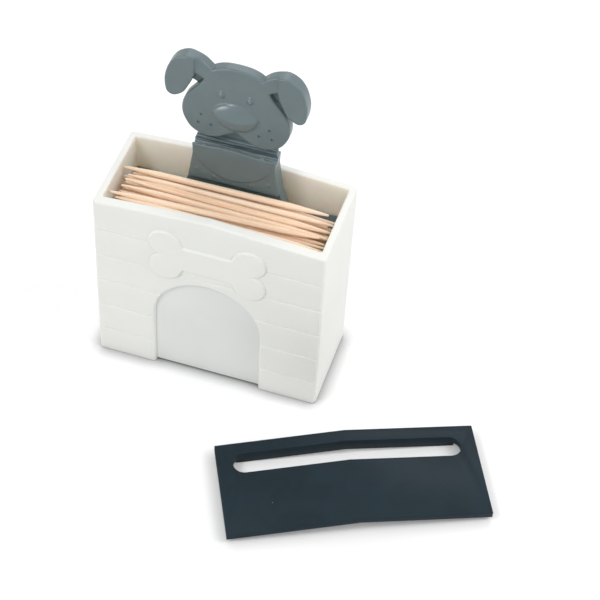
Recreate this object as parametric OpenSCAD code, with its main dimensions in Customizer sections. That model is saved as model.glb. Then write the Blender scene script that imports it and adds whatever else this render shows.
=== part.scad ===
// Toothpick holder: a dog house whose dog rides up through a slot in the roof.
// The origin is the middle of the base, on the table, and the front wall faces -Y.
// The roof is off, and lies on the table in front of the house.

/* [Toothpicks] */
// Length of a toothpick
pick_l = 67; // [60:0.5:72]
// Thickness of a toothpick
pick_d = 2.2; // [1.9:0.05:2.4]
// Length of the taper at each end
pick_taper = 8; // [4:0.5:12]
// Thickness of the blunt point
pick_tip_d = 0.7; // [0.4:0.1:1]
// Free length at each end of a toothpick, at the house's base
pick_end_gap = 1.35; // [1:0.05:2.5]
// Free gap between stacked toothpicks
pick_gap = 0.12; // [0.06:0.02:0.3]
// Largest turn of a loose toothpick on top of the stack, in degrees
loose_turn = 1; // [0:0.1:1]
// Height of the stack over the low end of the ramp
stack_h = 13.9; // [12:0.1:16]

/* [House] */
// Height of the side walls
house_h = 67.5; // [65:0.5:78]
// Rise of the gable above the side walls
gable_rise = 2.6; // [1.5:0.1:4]
// Depth of the space for the toothpicks, front to back
hopper_d = 19; // [16:0.5:22]
// Thickness of the walls at the rim
wall_t = 2.3; // [1.8:0.1:3]
// Thickness of the floor
floor_t = 2.2; // [1.6:0.1:3.5]
// How far the front and the back lean in, from the eaves to the base
face_lean = 1; // [0.4:0.1:1.4]
// How far each side leans in, from the eaves to the base
side_lean = 0.3; // [0.1:0.05:0.6]
// How far each inner face leans in, from the eaves to the base
core_lean = 0.35; // [0.1:0.05:0.6]
// Radius of the upright outer edges
corner_r = 1.2; // [0.8:0.1:2]
// Radius of the rim's outer edge
rim_r = 0.5; // [0.2:0.1:0.7]

/* [Front] */
// Thickness of the layer of boards on the front wall
board_t = 1.1; // [0.8:0.1:1.6]
// Height of the top board
top_board_h = 11.6; // [9:0.1:14]
// Height of each board below it
board_pitch = 11.4; // [9:0.1:14]
// Width of the groove between two boards
groove_w = 0.7; // [0.4:0.1:1.2]
// Depth of the groove
groove_d = 0.35; // [0.2:0.05:0.6]
// Width of the arched door
door_w = 35.2; // [28:0.2:40]
// Height of the arched door at its crown
door_h = 41.6; // [34:0.2:42]
// Radius of the rounded edge round the doorway
door_edge_r = 0.7; // [0.3:0.1:0.8]
// Thickness of the door panel
door_t = 0.6; // [0.4:0.1:0.8]
// Clearance all round the door panel
door_gap = 0.05; // [0.02:0.01:0.1]
// Height of the toe gap under the door panel
toe_gap = 1; // [0.5:0.1:1.6]
// Length of the bone-shaped plaque
plaque_l = 38; // [34:0.5:46]
// Radius of the plaque's four lobes
lobe_r = 5.1; // [4.5:0.1:5.4]
// Height of the plaque between its lobes
plaque_waist = 9.7; // [8:0.1:10]
// How far the plaque stands out
plaque_t = 0.5; // [0.3:0.1:0.8]
// From the eaves down to the middle of the plaque
plaque_drop = 15.1; // [13:0.1:15.4]

/* [Feed ramp] */
// Slope of the ramp towards the dog, in degrees
ramp_angle = 16; // [8:1:20]
// Thickness of the ramp and its walls
ramp_t = 1.4; // [1:0.1:2]

/* [Carriage] */
// Depth of the carriage, front to back
lift_d = 8.4; // [7.6:0.1:10]
// Thickness of its walls
lift_t = 1.3; // [1:0.1:1.8]
// Running clearance round the carriage
slide_gap = 0.3; // [0.2:0.05:0.5]
// How far the dog is raised from its lowest place, as shown
dog_raise = 28; // [10:0.5:28]
// How far the ledge behind the toothpick's groove stands out from the neck
ledge_d = 0.8; // [0.4:0.1:1]

/* [Dog] */
// Thickness of the figure at its chest
figure_t = 6.3; // [5.4:0.1:6.9]
// Height of the chest above the carriage
chest_h = 23.6; // [20:0.1:28]
// Width of the chest at its top
chest_w = 27; // [22:0.2:30]
// Height of the neck, from the chest to the cheeks
neck_h = 3.1; // [2.8:0.1:5]
// Thickness of the head
head_t = 3.8; // [3:0.1:4.4]
// Width of the head across its cheeks
head_w = 34.7; // [28:0.1:38]
// Height of the head, from the cheeks to the crown
head_h = 28.6; // [24:0.1:34]
// Width across the ears
ears_w = 44.9; // [40:0.1:54]
// Height of an ear
ear_h = 16.2; // [13:0.1:20]
// How far the ear flaps stand out from the face
ear_raise = 0.7; // [0.4:0.1:0.9]
// Radius of the figure's soft edges
soft_r = 0.8; // [0.3:0.1:1]

/* [Roof] */
// How far the roof overhangs each side wall
roof_overhang = 3.8; // [2:0.1:6]
// How far the roof overhangs the front and the back
roof_lip = 0.2; // [0:0.1:1]
// Thickness of the roof
roof_t = 2.3; // [1.8:0.1:3]
// Clearance in the slot at each end of a toothpick
slot_end_gap = 2.8; // [2:0.1:3]
// Clearance in the slot in front of and behind the figure
slot_side_gap = 0.6; // [0.4:0.05:1]
// Depth of the two ribs that hold the roof between the walls
rib_d = 2; // [1.2:0.1:2.4]
// Thickness of the ribs
rib_t = 1.2; // [0.8:0.1:1.3]
// Where the roof's middle lies on the table, to the right
roof_x = 58; // [50:1:90]
// Where the roof's middle lies on the table, to the front
roof_y = -44.3; // [-90:0.1:-44]
// How far the roof is turned on the table, in degrees
roof_turn = 25.4; // [0:0.1:35]

/* [Hidden] */
$fn = 48;
round_fn = 24;
spline_steps = 4;
arc_steps = 18;
overrun = 1;
wander = 137;
seat_gap = 0.15;
pick_r = pick_d / 2;

// The inside, from the toothpick and the carriage outwards
core_base_w = pick_l + 2 * pick_end_gap;
core_top_w = core_base_w + 2 * core_lean;
core_base_d = hopper_d + lift_d + 2 * slide_gap;
core_top_d = core_base_d + 2 * core_lean;
front_t = wall_t + board_t;
house_w = core_top_w + 2 * wall_t;
house_d = core_top_d + front_t + wall_t;
gable_h = house_h + gable_rise;
core_front_top = front_t - house_d / 2;
core_back_top = house_d / 2 - wall_t;
core_front_base = core_front_top + core_lean;
core_back_base = core_back_top - core_lean;

// The door and the plaque
door_spring = door_h - door_w / 2;
toe_d = front_t + overrun;
plaque_z = house_h - plaque_drop;
lobe_x = plaque_l / 2 - lobe_r;
lobe_z = lobe_r;
knee_share = 0.56;
knee_x = lobe_x * knee_share;

// The carriage, from the back wall forwards
lift_back = core_back_base - slide_gap;
lift_front = lift_back - lift_d;
lift_w = core_base_w - 2 * slide_gap;
rest_base = floor_t + slide_gap;
lip_low_z = house_h - rib_d - stack_h - pick_gap - slide_gap;
lift_h = lip_low_z - chest_h - rest_base;
lift_base = rest_base + dog_raise;
lift_top = lift_base + lift_h;
lift_deck_t = lift_t + 0.3 * lift_t;
tab_share = 0.2;
tab_w = lift_w * tab_share;
tab_t = lift_d - 2 * lift_t - 2 * soft_r;
tab_x_share = 0.16;
tab_gap = 0.05;

// The figure, from the carriage upwards
figure_front = lift_front + slide_gap - tab_gap;
figure_back = figure_front + figure_t;
head_back = figure_back - soft_r - slide_gap;
face_y = head_back - head_t;
lip_z = lift_top + chest_h;
cheek_z = lip_z + neck_h;
crown_z = cheek_z + head_h;
groove_r = pick_d / 2 + 2 * pick_gap;
groove_z = lip_z - pick_d * 0.2;
groove_y = figure_front + groove_r + soft_r;
ledge_y = groove_y + groove_r - pick_gap;
ledge_z = lip_z + pick_r;
neck_y = ledge_y + ledge_d;
ear_root = head_w * 0.2075;
ear_low = crown_z - ear_h * 0.9;
nose_share = 0.228;
nose_height_share = 0.417;
nose_up_share = 0.44;
nose_down_share = 0.89;
scarf_share = 0.5;
scarf_steps = 12;
chest_flare_share = 1.11;
chest_foot_share = 0.44;
foot_flare_share = 1.36;

// The stack of toothpicks and the ramp under it
step_y = pick_d + pick_gap;
step_z = step_y * sin(60);
ramp_back = lift_front - slide_gap;
ramp_front = core_front_base + seat_gap;
ramp_low = lip_low_z + pick_gap + slide_gap;
ramp_high = ramp_low + (ramp_back - ramp_front) * tan(ramp_angle);
ramp_w = core_base_w - 2 * seat_gap;
row_back = ramp_back - pick_r;
row_front = core_front_base + pick_r + pick_gap;
loose_z = house_h - rib_d - pick_r;
stack_z = loose_z - step_y;
stack_rise = ramp_low - pick_d;
layer_max = floor((stack_z - stack_rise) / step_z);
row_max = floor((row_back - row_front) / step_y);

// The roof, in its own frame: z is zero at the underside of the eaves
roof_w = house_w + 2 * roof_overhang;
roof_d = house_d + 2 * roof_lip;
roof_rise = gable_rise * roof_w / house_w;
slot_l = pick_l + 2 * slot_end_gap;
slot_w = figure_t + 2 * slot_side_gap;
slot_y = (figure_front + figure_back) / 2;
slot_back = slot_y + slot_w / 2;
rib_half = core_top_w / 2 - slide_gap;
rib_low = roof_underside(rib_half) - rib_d;
roof_z = -rib_low;

// Places of the loose toothpicks, as shares: back to front, shift, turn and lift
loose_shares = [
    [0.025, -1.0, 0.6, 0.3],
    [0.235, 0.8, 0.1, 0.1],
    [0.410, 0.5, -0.7, 0.4],
    [0.585, 0.9, -1.0, 0.0],
    [0.800, -0.8, 0.7, 0.5],
    [0.980, 0.3, 0.2, 0.1]
];
loose_lift = pick_d / 5;
shift_max = pick_end_gap - seat_gap;

// Toothpick outline: radius and length from the point, as shares
pick_shares = [[0, 0], [0, 0], [0.62, 0.4], [1, 1]];

// Half outline of the head, from the mouth round the cheek to the crown, as shares
head_shares = [
    [0.00, 0.147], [0.18, 0.073], [0.34, 0.021], [0.51, 0.000], [0.67, 0.021],
    [0.80, 0.063], [0.90, 0.136], [0.98, 0.250], [0.99, 0.373], [0.93, 0.497],
    [0.824, 0.590], [0.69, 0.690], [0.60, 0.775], [0.53, 0.865], [0.43, 0.940], [0.23, 0.988], [0.00, 1.000]
];

// Outline of an ear, from its root under the flap to the tip and back over the top, as shares
ear_shares = [
    [0.05, 0.42], [0.209, 0.515], [0.387, 0.611], [0.426, 0.475], [0.495, 0.327], [0.597, 0.142],
    [0.721, 0.037], [0.852, 0.00], [0.962, 0.075], [1.00, 0.255], [0.995, 0.445], [0.92, 0.70], [0.78, 0.895],
    [0.57, 1.00], [0.39, 0.98], [0.20, 0.90], [0.02, 0.74], [-0.12, 0.56]
];
ear_step_share = 0.375;

function roof_underside(x) = roof_rise * (1 - abs(x) / (roof_w / 2));
function front_at(z) = face_lean * (house_h - z) / house_h - house_d / 2;
function ramp_at(y) = ramp_low + (ramp_back - y) * tan(ramp_angle);
function rest_on_ramp(y, z) = (z - ramp_at(y)) * cos(ramp_angle) >= pick_r + pick_gap;

// A smooth line through points, and the same line mirrored into a closed outline
function between(a, b, c, d, t) =
    0.5 * (2 * b + (c - a) * t + (2 * a - 5 * b + 4 * c - d) * t * t + (3 * b - a - 3 * c + d) * t * t * t);
function smooth(p) = [
    for (i = [0 : len(p) - 2], k = [0 : spline_steps - 1])
        between(p[max(i - 1, 0)], p[i], p[i + 1], p[min(i + 2, len(p) - 1)], k / spline_steps),
    p[len(p) - 1]
];
function mirrored(p) = concat(p, [for (i = [len(p) - 2 : -1 : 1]) [-p[i][0], p[i][1]]]);

// An outline moved inwards, each point across the line through its neighbours
function inset(p, d) = [
    for (i = [0 : len(p) - 1])
        let (
            a = p[(i + len(p) - 1) % len(p)],
            b = p[(i + 1) % len(p)],
            t = (b - a) / norm(b - a)
        ) p[i] + d * [-t[1], t[0]]
];
function head_outline() = mirrored(smooth([for (p = head_shares) [p[0] * head_w / 2, cheek_z + p[1] * head_h]]));
function ear_outline() = smooth([
    for (p = ear_shares) [ear_root + p[0] * (ears_w / 2 - ear_root), ear_low + p[1] * ear_h]
]);

function arch_outline() =
    let (r = door_w / 2) concat(
        [[-r, -overrun], [r, -overrun]],
        [for (i = [0 : 2 * arc_steps]) let (a = 90 * i / arc_steps) [r * cos(a), door_spring + r * sin(a)]]
    );

// Centres of the stacked toothpicks: [y, z], layer by layer from the top
stack_places = [
    for (k = [0 : layer_max], j = [0 : row_max])
        let (y = row_back - (j + (k % 2) / 2) * step_y, z = stack_z - k * step_z)
            if (y >= row_front && rest_on_ramp(y, z)) [y, z]
];
loose_places = [for (p = loose_shares) [row_back - (row_back - row_front) * p[0], loose_z]];
pick_places = concat(loose_places, stack_places);
pick_names = [for (i = [0 : len(pick_places) - 1]) str("toothpick_", i < 9 ? "0" : "", i + 1)];

module along_x(x0, x1) {
    translate([x0, 0, 0]) rotate([90, 0, 90]) linear_extrude(x1 - x0) children();
}

module along_y(y0, y1) {
    translate([0, y1, 0]) rotate([90, 0, 0]) linear_extrude(y1 - y0) children();
}

// A short round peg with a rounded top edge, used at the corners of the outer block
module corner_peg(x, y, z) {
    e = rim_r;
    points = [
        [0, -e],
        [corner_r, -e],
        [corner_r - e * (1 - cos(45)), e * sin(45) - e],
        [corner_r - e, 0],
        [0, 0]
    ];
    translate([x, y, z]) rotate_extrude($fn = 32) polygon(points);
}

// Walls that lean in towards the base, under a gable
module outer_block() {
    top_x = house_w / 2 - corner_r;
    top_y = house_d / 2 - corner_r;
    hull() {
        for (sx = [-1, 1], sy = [-1, 1]) {
            corner_peg(sx * top_x, sy * top_y, house_h);
            translate([sx * (top_x - side_lean), sy * (top_y - face_lean), 0])
                cylinder(r = corner_r, h = seat_gap, $fn = 32);
        }
        for (sy = [-1, 1]) corner_peg(0, sy * top_y, gable_h);
    }
}

module core() {
    top = gable_h + overrun;
    per_mm = core_lean / house_h;
    w0 = core_base_w / 2 + floor_t * per_mm;
    w1 = core_base_w / 2 + top * per_mm;
    f0 = core_front_base - floor_t * per_mm;
    f1 = core_front_base - top * per_mm;
    b0 = core_back_base + floor_t * per_mm;
    b1 = core_back_base + top * per_mm;
    intersection() {
        along_y(-house_d, house_d) polygon([[-w0, floor_t], [w0, floor_t], [w1, top], [-w1, top]]);
        along_x(-house_w, house_w) polygon([[f0, floor_t], [b0, floor_t], [b1, top], [f1, top]]);
    }
}

// A slab that follows the leaning front wall, between two depths from its surface
module front_slab(d0, d1) {
    z0 = -overrun;
    z1 = gable_h + overrun;
    along_x(-house_w, house_w) polygon([
        [front_at(z0) + d0, z0],
        [front_at(z0) + d1, z0],
        [front_at(z1) + d1, z1],
        [front_at(z1) + d0, z1]
    ]);
}

module board_grooves() {
    count = floor((house_h - top_board_h - groove_w) / board_pitch);
    for (i = [0 : count]) {
        z = house_h - top_board_h - i * board_pitch;
        y = front_at(z);
        along_x(-house_w, house_w) polygon([
            [y - overrun, z - groove_w / 2 * (1 + overrun / groove_d)],
            [y + groove_d, z],
            [y - overrun, z + groove_w / 2 * (1 + overrun / groove_d)]
        ]);
    }
}

module arch(gap) {
    r = door_w / 2 - gap;
    translate([0, door_spring]) circle(r = r);
    translate([-r, gap]) square([2 * r, door_spring - gap]);
}

// The touching point of the line from the knee to the lobe's circle
function lobe_touch(x, z) =
    let (
        dx = x - lobe_x,
        dz = z - lobe_z,
        a = atan2(dz, dx) - acos(min(1, lobe_r / norm([dx, dz])))
    ) [lobe_x + lobe_r * cos(a), lobe_z + lobe_r * sin(a)];

module plaque_outline() {
    waist = plaque_waist / 2;
    touch = lobe_touch(knee_x, waist);
    square([2 * lobe_x, plaque_waist], center = true);
    for (sx = [-1, 1], sz = [-1, 1]) {
        translate([sx * lobe_x, sz * lobe_z]) circle(r = lobe_r);
        polygon([
            [sx * knee_x, 0],
            [sx * lobe_x, 0],
            [sx * lobe_x, sz * lobe_z],
            [sx * touch[0], sz * touch[1]],
            [sx * knee_x, sz * waist]
        ]);
    }
}

// The plaque is bare
module plaque() {
    intersection() {
        front_slab(-plaque_t, wall_t);
        along_y(-house_d, 0) translate([0, plaque_z]) plaque_outline();
    }
}

// The doorway's recess, whose mouth is rounded over
module doorway() {
    e = door_edge_r;
    loft(arch_outline(), [
        [-overrun, -e],
        [0, -e],
        [e * (1 - cos(45)), -e * (1 - sin(45))],
        [e, 0],
        [board_t + door_t, 0]
    ], 1);
}

module house_shell() {
    color([0.93, 0.93, 0.90])
    difference() {
        union() {
            difference() {
                outer_block();
                board_grooves();
            }
            plaque();
        }
        core();
        doorway();
        translate([-door_w / 2, -house_d / 2 - overrun, -overrun]) cube([door_w, toe_d, overrun + toe_gap]);
    }
}

module door_panel() {
    color([0.86, 0.89, 0.90])
    intersection() {
        front_slab(board_t + door_gap, board_t + door_t);
        along_y(-house_d, 0) difference() {
            arch(door_gap);
            translate([-door_w, 0]) square([2 * door_w, toe_gap]);
        }
    }
}

// A sloping false floor on two walls, open underneath
module feed_ramp() {
    drop = ramp_t / cos(ramp_angle);
    inner_front = ramp_front + ramp_t;
    inner_back = ramp_back - ramp_t;
    color([0.90, 0.90, 0.87])
    along_x(-ramp_w / 2, ramp_w / 2) polygon([
        [ramp_front, floor_t],
        [ramp_front, ramp_high],
        [ramp_back, ramp_low],
        [ramp_back, floor_t],
        [inner_back, floor_t],
        [inner_back, ramp_at(inner_back) - drop],
        [inner_front, ramp_at(inner_front) - drop],
        [inner_front, floor_t]
    ]);
}

module tab_places() {
    for (sx = [-1, 1]) translate([sx * lift_w * tab_x_share, (figure_front + figure_back) / 2, 0]) children();
}

// A long box, open underneath, with two slots that take the figure's tabs
module lift_carriage() {
    color([0.40, 0.47, 0.49])
    difference() {
        translate([-lift_w / 2, lift_front, lift_base]) cube([lift_w, lift_d, lift_h]);
        translate([-lift_w / 2 + lift_t, lift_front + lift_t, lift_base - overrun])
            cube([lift_w - 2 * lift_t, lift_d - 2 * lift_t, lift_h - lift_deck_t + overrun]);
        tab_places() translate([-tab_w / 2 - tab_gap, -tab_t / 2 - tab_gap, lift_base + lift_h / 2])
            cube([tab_w + 2 * tab_gap, tab_t + 2 * tab_gap, lift_h]);
    }
}

// A solid along Y from an outline and rings of [depth, inset]. It can follow the leaning front.
module loft(outline, rings, follow = 0) {
    n = len(outline);
    last = len(rings) - 1;
    points = [for (r = rings, q = inset(outline, r[1])) [q[0], r[0] + follow * front_at(q[1]), q[1]]];
    sides = [
        for (k = [0 : last - 1], i = [0 : n - 1], half = [0, 1])
            let (a = k * n, b = a + n, j = (i + 1) % n)
                half == 0 ? [a + i, a + j, b + j] : [a + i, b + j, b + i]
    ];
    front = [[for (i = [n - 1 : -1 : 0]) i]];
    back = [[for (i = [0 : n - 1]) last * n + i]];
    polyhedron(points, concat(front, sides, back));
}

// A plate with rounded front and back edges
module soft_plate(outline, y0, y1, edge) {
    loft(outline, concat(
        [for (a = [90, 45, 0]) [y0 + edge * (1 - sin(a)), edge * (1 - cos(a))]],
        [for (a = [0, 45, 90]) [y1 - edge * (1 - sin(a)), edge * (1 - cos(a))]]
    ));
}

// An ear, whose hanging flap stands out from the face
module ear() {
    step_x = ear_root + (ears_w / 2 - ear_root) * ear_step_share;
    soft_plate(ear_outline(), face_y, head_back, soft_r);
    intersection() {
        soft_plate(ear_outline(), face_y - ear_raise, head_back - soft_r, soft_r);
        translate([step_x, face_y - figure_t, lift_top]) cube([ears_w, 2 * figure_t, crown_z]);
    }
}

// The nose is the overlap of two shallow domes
module nose() {
    half = head_w * nose_share;
    tip_z = cheek_z + head_h * nose_height_share;
    up = half * nose_up_share;
    down = half * nose_down_share;
    up_r = (half * half + up * up) / (2 * up);
    down_r = (half * half + down * down) / (2 * down);
    rise = face_y - figure_front;
    up_dome = (up_r * up_r + rise * rise) / (2 * rise);
    down_dome = (down_r * down_r + rise * rise) / (2 * rise);
    intersection() {
        translate([0, figure_front + up_dome, tip_z + up - up_r]) sphere(r = up_dome);
        translate([0, figure_front + down_dome, tip_z - down + down_r]) sphere(r = down_dome);
        translate([-half * 2, figure_front - overrun, tip_z - 2 * half])
            cube([4 * half, rise + overrun + seat_gap, 4 * half]);
    }
}

module face() {
    eye_r = head_w * 0.032;
    for (sx = [-1, 1])
        translate([sx * head_w * 0.13, face_y + eye_r * 0.4, cheek_z + head_h * 0.64]) sphere(r = eye_r, $fn = 16);
    nose();
}

module dimples() {
    dot_r = head_w * 0.012;
    spots_share = [[0.30, 0.295], [0.33, 0.175], [0.21, 0.18]];
    for (sx = [-1, 1], p = spots_share)
        translate([sx * head_w * p[0], face_y, cheek_z + head_h * p[1]]) sphere(r = dot_r, $fn = 12);
}

module head() {
    difference() {
        soft_plate(head_outline(), face_y, head_back, soft_r);
        dimples();
    }
    ear();
    mirror([1, 0, 0]) ear();
    face();
}

// Chest and foot: the foot flares out towards the carriage
module body_outline() {
    half = chest_w / 2;
    foot_z = lift_top + chest_h * chest_foot_share;
    polygon([
        [-half, lip_z],
        [half, lip_z],
        [half * chest_flare_share, foot_z],
        [half * foot_flare_share, lift_top],
        [-half * foot_flare_share, lift_top],
        [-half * chest_flare_share, foot_z]
    ]);
}

module chest_outline(narrower = 0) {
    half = chest_w / 2 - narrower;
    foot_z = lift_top + chest_h * chest_foot_share;
    polygon([
        [-half, lip_z],
        [half, lip_z],
        [half * chest_flare_share, foot_z],
        [-half * chest_flare_share, foot_z]
    ]);
}

module scarf_outline() {
    half = chest_w / 2 + soft_r / 4;
    drop = chest_h * scarf_share;
    r = (half * half + drop * drop) / (2 * drop);
    intersection() {
        chest_outline(soft_r / 4);
        translate([0, lip_z - drop + r]) circle(r = r);
    }
}

// A rolled edge along the scarf's lower curve
module scarf_roll() {
    half = chest_w / 2 + soft_r / 4;
    drop = chest_h * scarf_share;
    r = (half * half + drop * drop) / (2 * drop);
    reach = asin(half / r) - asin(soft_r / r) * 2;
    for (i = [0 : scarf_steps - 1]) {
        hull() {
            for (k = [0, 1]) {
                a = reach * (2 * (i + k) / scarf_steps - 1);
                translate([(r - soft_r) * sin(a), figure_front + soft_r, lip_z - drop + r - (r - soft_r) * cos(a)])
                    sphere(r = soft_r, $fn = 12);
            }
        }
    }
}

module dog_body() {
    chest_y = figure_front + soft_r / 2;
    foot_y = figure_front + figure_t / 3;
    difference() {
        union() {
            along_y(chest_y, figure_back) chest_outline();
            along_y(foot_y, figure_back) body_outline();
            along_y(figure_front + soft_r / 4, chest_y + overrun) scarf_outline();
            scarf_roll();
        }
        translate([-chest_w, groove_y, groove_z]) rotate([0, 90, 0]) cylinder(r = groove_r, h = 2 * chest_w);
        translate([-chest_w, groove_y - groove_r, groove_z]) cube([2 * chest_w, 2 * groove_r, chest_h]);
    }
    neck_half = chest_w / 2 - soft_r / 2;
    neck_back = figure_back - soft_r / 2;
    along_x(-neck_half, neck_half) polygon([
        [ledge_y, lip_z - groove_r],
        [neck_back, lip_z - groove_r],
        [neck_back, cheek_z + soft_r],
        [head_back - soft_r, cheek_z + 2 * soft_r],
        [head_back - soft_r, cheek_z + head_h / 3],
        [neck_y, cheek_z + head_h / 3],
        [neck_y, ledge_z],
        [ledge_y, ledge_z]
    ]);
}

module dog_tabs() {
    tab_places() translate([-tab_w / 2, -tab_t / 2, lift_top - lift_deck_t * 2]) cube([tab_w, tab_t, lift_deck_t * 2 + soft_r]);
}

module dog_figure() {
    color([0.44, 0.52, 0.54]) {
        head();
        dog_body();
        dog_tabs();
    }
}

module roof_band(half_w, z_drop, z_top) {
    polygon([
        [-half_w, roof_underside(half_w) - z_drop],
        [0, roof_rise - z_drop],
        [half_w, roof_underside(half_w) - z_drop],
        [half_w, roof_underside(half_w) + z_top],
        [0, roof_rise + z_top],
        [-half_w, roof_underside(half_w) + z_top]
    ]);
}

module roof() {
    slot_half = slot_l / 2 - slot_w / 2;
    front_rib = core_front_top + slide_gap;
    color([0.15, 0.20, 0.24])
    translate([roof_x, roof_y, roof_z]) rotate([0, 0, roof_turn]) {
        difference() {
            along_y(-roof_d / 2, roof_d / 2) roof_band(roof_w / 2, 0, roof_t);
            for (sx = [-1, 1]) translate([sx * slot_half, slot_y, -overrun]) cylinder(d = slot_w, h = 3 * roof_t + roof_rise);
            translate([-slot_half, slot_y - slot_w / 2, -overrun]) cube([2 * slot_half, slot_w, 3 * roof_t + roof_rise]);
        }
        along_y(slot_back, slot_back + rib_t) roof_band(rib_half, rib_d, roof_t / 2);
        along_y(front_rib, front_rib + rib_t) roof_band(rib_half, rib_d, roof_t / 2);
    }
}

// A toothpick along X, its middle at the origin
module toothpick() {
    tip = pick_tip_d / 2;
    half = [for (p = pick_shares) [tip + (pick_r - tip) * p[0], pick_taper * p[1] - pick_l / 2]];
    whole = concat([[0, -pick_l / 2]], half, [for (i = [len(half) - 1 : -1 : 0]) [half[i][0], -half[i][1]]], [[0, pick_l / 2]]);
    rotate([0, 90, 0]) rotate_extrude($fn = round_fn) polygon(whole);
}

module placed_toothpick(i) {
    place = pick_places[i];
    share = i < len(loose_shares) ? loose_shares[i] : [0, sin(i * wander), 0, 0];
    color([0.91, 0.76, 0.60])
    translate([share[1] * shift_max, place[0], place[1] + share[3] * loose_lift])
        rotate([0, 0, share[2] * loose_turn]) toothpick();
}

house_shell();
door_panel();
feed_ramp();
lift_carriage();
dog_figure();
roof();
for (i = [0 : len(pick_names) - 1]) {
    placed_toothpick(i);
}
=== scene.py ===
import math
import bpy
import bmesh
import numpy as np
from mathutils import Matrix, Vector


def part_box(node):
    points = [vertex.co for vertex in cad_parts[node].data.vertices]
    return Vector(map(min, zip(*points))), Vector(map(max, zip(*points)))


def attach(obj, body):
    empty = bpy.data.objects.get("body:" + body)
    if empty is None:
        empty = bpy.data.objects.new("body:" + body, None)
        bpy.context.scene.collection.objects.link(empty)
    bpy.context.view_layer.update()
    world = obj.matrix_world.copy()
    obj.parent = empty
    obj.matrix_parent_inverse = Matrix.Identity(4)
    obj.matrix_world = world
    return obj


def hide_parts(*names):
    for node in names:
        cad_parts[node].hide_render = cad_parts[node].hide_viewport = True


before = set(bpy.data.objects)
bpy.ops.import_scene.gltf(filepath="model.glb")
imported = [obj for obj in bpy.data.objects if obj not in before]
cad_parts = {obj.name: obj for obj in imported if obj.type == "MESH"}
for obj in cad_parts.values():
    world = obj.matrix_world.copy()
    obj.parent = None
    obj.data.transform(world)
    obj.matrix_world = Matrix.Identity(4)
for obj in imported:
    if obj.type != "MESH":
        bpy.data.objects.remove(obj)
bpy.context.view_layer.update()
print("frame loaded")

mm = 0.001
mergeGap = 0.000004   # metres
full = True

# camera, floor and light

shot = {
    "place": (0.137098, -0.418724, 0.493412),
    "yaw": 0.260, "pitch": 0.820, "roll": 0.064,   # radians: turned left, looking down, tilted
    "lens": 119.2, "sensor": 36.0,
}


def placeCamera(s):
    cy, sy = math.cos(s["yaw"]), math.sin(s["yaw"])
    cp, sp = math.cos(s["pitch"]), math.sin(s["pitch"])
    cr, sr = math.cos(s["roll"]), math.sin(s["roll"])
    forward = Vector((-sy * cp, cy * cp, -sp))
    level = Vector((cy, sy, 0))
    above = level.cross(forward)
    right = cr * level + sr * above
    up = -sr * level + cr * above
    data = bpy.data.cameras.new("photoCamera")
    data.lens, data.sensor_width, data.sensor_fit = s["lens"], s["sensor"], "HORIZONTAL"
    data.clip_start, data.clip_end = 0.02, 20
    camera = bpy.data.objects.new("photoCamera", data)
    turn = Matrix((right, up, -forward)).transposed().to_4x4()
    camera.matrix_world = Matrix.Translation(s["place"]) @ turn
    bpy.context.scene.collection.objects.link(camera)
    bpy.context.scene.camera = camera


placeCamera(shot)
bpy.context.scene.view_settings.view_transform = "Standard"


# node helpers

def startMaterial(name):
    mat = bpy.data.materials.new(name)
    mat.use_nodes = True
    tree = mat.node_tree
    shader = tree.nodes["Principled BSDF"]
    return mat, tree, shader


def addNode(tree, kind, settings=None, inputs=None):
    node = tree.nodes.new(kind)
    for key, value in (settings or {}).items():
        setattr(node, key, value)
    for key, value in (inputs or {}).items():
        if isinstance(value, bpy.types.NodeSocket):
            tree.links.new(value, node.inputs[key])
        else:
            node.inputs[key].default_value = value
    return node


def objectPlace(tree, scale=(1, 1, 1)):
    coords = addNode(tree, "ShaderNodeTexCoord")
    place = addNode(tree, "ShaderNodeMapping", None, {"Vector": coords.outputs["Object"], "Scale": scale})
    return place.outputs["Vector"]


def mathNode(tree, operation, a, b=0.0, c=0.0):
    return addNode(tree, "ShaderNodeMath", {"operation": operation}, {0: a, 1: b, 2: c}).outputs[0]


def mapRange(tree, value, low, high, toLow=0.0, toHigh=1.0):
    return addNode(tree, "ShaderNodeMapRange", {"clamp": True}, {
        "Value": value, "From Min": low, "From Max": high, "To Min": toLow, "To Max": toHigh,
    }).outputs["Result"]


def mixColour(tree, factor, a, b):
    return addNode(tree, "ShaderNodeMix", {"data_type": "RGBA"}, {0: factor, 6: a, 7: b}).outputs[2]


def startGroup(name, inputs, outputs):
    group = bpy.data.node_groups.new(name, "ShaderNodeTree")
    for label, kind, value in inputs:
        socket = group.interface.new_socket(name=label, in_out="INPUT", socket_type=kind)
        if value is not None:
            socket.default_value = value
    for label, kind in outputs:
        group.interface.new_socket(name=label, in_out="OUTPUT", socket_type=kind)
    return group, group.nodes.new("NodeGroupInput"), group.nodes.new("NodeGroupOutput")


def useGroup(tree, group, inputs=None):
    return addNode(tree, "ShaderNodeGroup", {"node_tree": group}, inputs)


# shared effects: the fine skin of moulded plastic, and stray specks

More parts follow.
